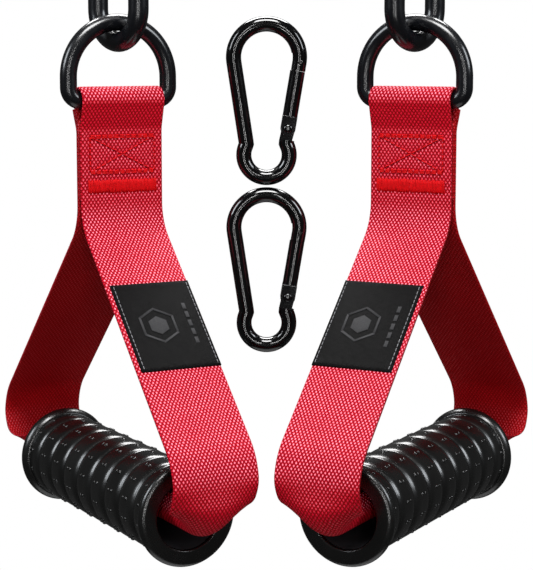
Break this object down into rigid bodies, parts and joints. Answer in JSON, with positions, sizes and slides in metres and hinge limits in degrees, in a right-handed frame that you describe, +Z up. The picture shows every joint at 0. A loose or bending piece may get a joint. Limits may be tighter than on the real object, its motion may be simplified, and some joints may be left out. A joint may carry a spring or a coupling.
{
  "type": "pair of cable stirrup handles with snap hooks",
  "caption": "Pair of webbing stirrup handles with ribbed rotating grips and D-rings on hanging links, with pear-shaped spring snap hooks.",
  "frame": {"origin": "midway between the two hanging links, level with the inside of their tops, where the machine's cable ends would bear", "axes": "+X from the left handle to the right one, +Y away from the front, +Z up"},
  "size_m": [0.2494, 0.1782, 0.2645],
  "materials": {
    "black_steel": "glossy black coated steel",
    "hook_steel": "glossy black coated steel",
    "spring_steel": "drawn spring wire",
    "webbing": "coarse woven polyester webbing",
    "thread": "bonded sewing thread",
    "label_cloth": "woven damask label",
    "label_thread": "thin sewing thread",
    "grip_rubber": "satin moulded rubber",
    "core_plastic": "moulded ABS"
  },
  "bodies": {
    "hanging_links": {"left_hanging_link": "black_steel", "right_hanging_link": "black_steel"},
    "left_ring": {"left_d_ring": "black_steel"},
    "left_webbing": {"left_strap": "webbing", "left_box_stitch_front": "thread", "left_bar_tack_front": "thread", "left_box_stitch_rear": "thread", "left_bar_tack_rear": "thread", "left_label": "label_cloth", "left_label_stitch": "label_thread"},
    "left_grip": {"left_grip_sleeve": "grip_rubber", "left_grip_core": "core_plastic"},
    "right_ring": {"right_d_ring": "black_steel"},
    "right_webbing": {"right_strap": "webbing", "right_box_stitch_front": "thread", "right_bar_tack_front": "thread", "right_box_stitch_rear": "thread", "right_bar_tack_rear": "thread", "right_label": "label_cloth", "right_label_stitch": "label_thread"},
    "right_grip": {"right_grip_sleeve": "grip_rubber", "right_grip_core": "core_plastic"},
    "upper_hook": {"upper_hook_frame": "hook_steel", "upper_hook_rivet": "hook_steel", "upper_hook_latch_pin": "hook_steel"},
    "upper_gate": {"upper_hook_gate": "hook_steel", "upper_hook_spring": "spring_steel"},
    "upper_plunger": {"upper_hook_plunger": "spring_steel"},
    "lower_hook": {"lower_hook_frame": "hook_steel", "lower_hook_rivet": "hook_steel", "lower_hook_latch_pin": "hook_steel"},
    "lower_gate": {"lower_hook_gate": "hook_steel", "lower_hook_spring": "spring_steel"},
    "lower_plunger": {"lower_hook_plunger": "spring_steel"}
  },
  "joints": [
    {"name": "left_ring_swing", "type": "hinge", "parent": "hanging_links", "child": "left_ring", "pos_m": [-0.0628, 0, -0.035], "axis": [0.8746, 0.4848, 0], "range_deg": [-60, 60]},
    {"name": "left_strap_swing", "type": "hinge", "parent": "left_ring", "child": "left_webbing", "pos_m": [-0.0628, 0, -0.0678], "axis": [0.8746, 0.4848, 0], "range_deg": [-90, 90]},
    {"name": "left_grip_spin", "type": "hinge", "parent": "left_webbing", "child": "left_grip", "pos_m": [-0.0628, 0, -0.2346], "axis": [-0.4848, 0.8746, 0], "continuous": true},
    {"name": "right_ring_swing", "type": "hinge", "parent": "hanging_links", "child": "right_ring", "pos_m": [0.0628, 0, -0.035], "axis": [-0.8746, 0.4848, 0], "range_deg": [-60, 60]},
    {"name": "right_strap_swing", "type": "hinge", "parent": "right_ring", "child": "right_webbing", "pos_m": [0.0628, 0, -0.0678], "axis": [-0.8746, 0.4848, 0], "range_deg": [-90, 90]},
    {"name": "right_grip_spin", "type": "hinge", "parent": "right_webbing", "child": "right_grip", "pos_m": [0.0628, 0, -0.2346], "axis": [0.4848, 0.8746, 0], "continuous": true},
    {"name": "upper_hook_take_away", "type": "slide", "parent": "hanging_links", "child": "upper_hook", "axis": [0, 1, 0], "range_m": [0, 0.06]},
    {"name": "upper_gate_hinge", "type": "hinge", "parent": "upper_hook", "child": "upper_gate", "pos_m": [0.00915, 0, -0.0798], "axis": [0, -1, 0], "range_deg": [0, 25], "stiffness_Nm_per_rad": 0.06, "springref_deg": -28.65},
    {"name": "upper_plunger_slide", "type": "slide", "parent": "upper_gate", "child": "upper_plunger", "axis": [0.165, 0, 0.9863], "range_m": [0, 0.0008], "deforming": ["upper_hook_spring"]},
    {"name": "lower_hook_take_away", "type": "slide", "parent": "hanging_links", "child": "lower_hook", "axis": [0, 1, 0], "range_m": [0, 0.06]},
    {"name": "lower_gate_hinge", "type": "hinge", "parent": "lower_hook", "child": "lower_gate", "pos_m": [0.00915, 0, -0.1523], "axis": [0, -1, 0], "range_deg": [0, 25], "stiffness_Nm_per_rad": 0.06, "springref_deg": -28.65},
    {"name": "lower_plunger_slide", "type": "slide", "parent": "lower_gate", "child": "lower_plunger", "axis": [0.165, 0, 0.9863], "range_m": [0, 0.0008], "deforming": ["lower_hook_spring"]}
  ],
  "couplings": [
    {"joint": "upper_plunger_slide", "follows": "upper_gate_hinge", "m_per_rad": 0.0016},
    {"joint": "lower_plunger_slide", "follows": "lower_gate_hinge", "m_per_rad": 0.0016}
  ]
}
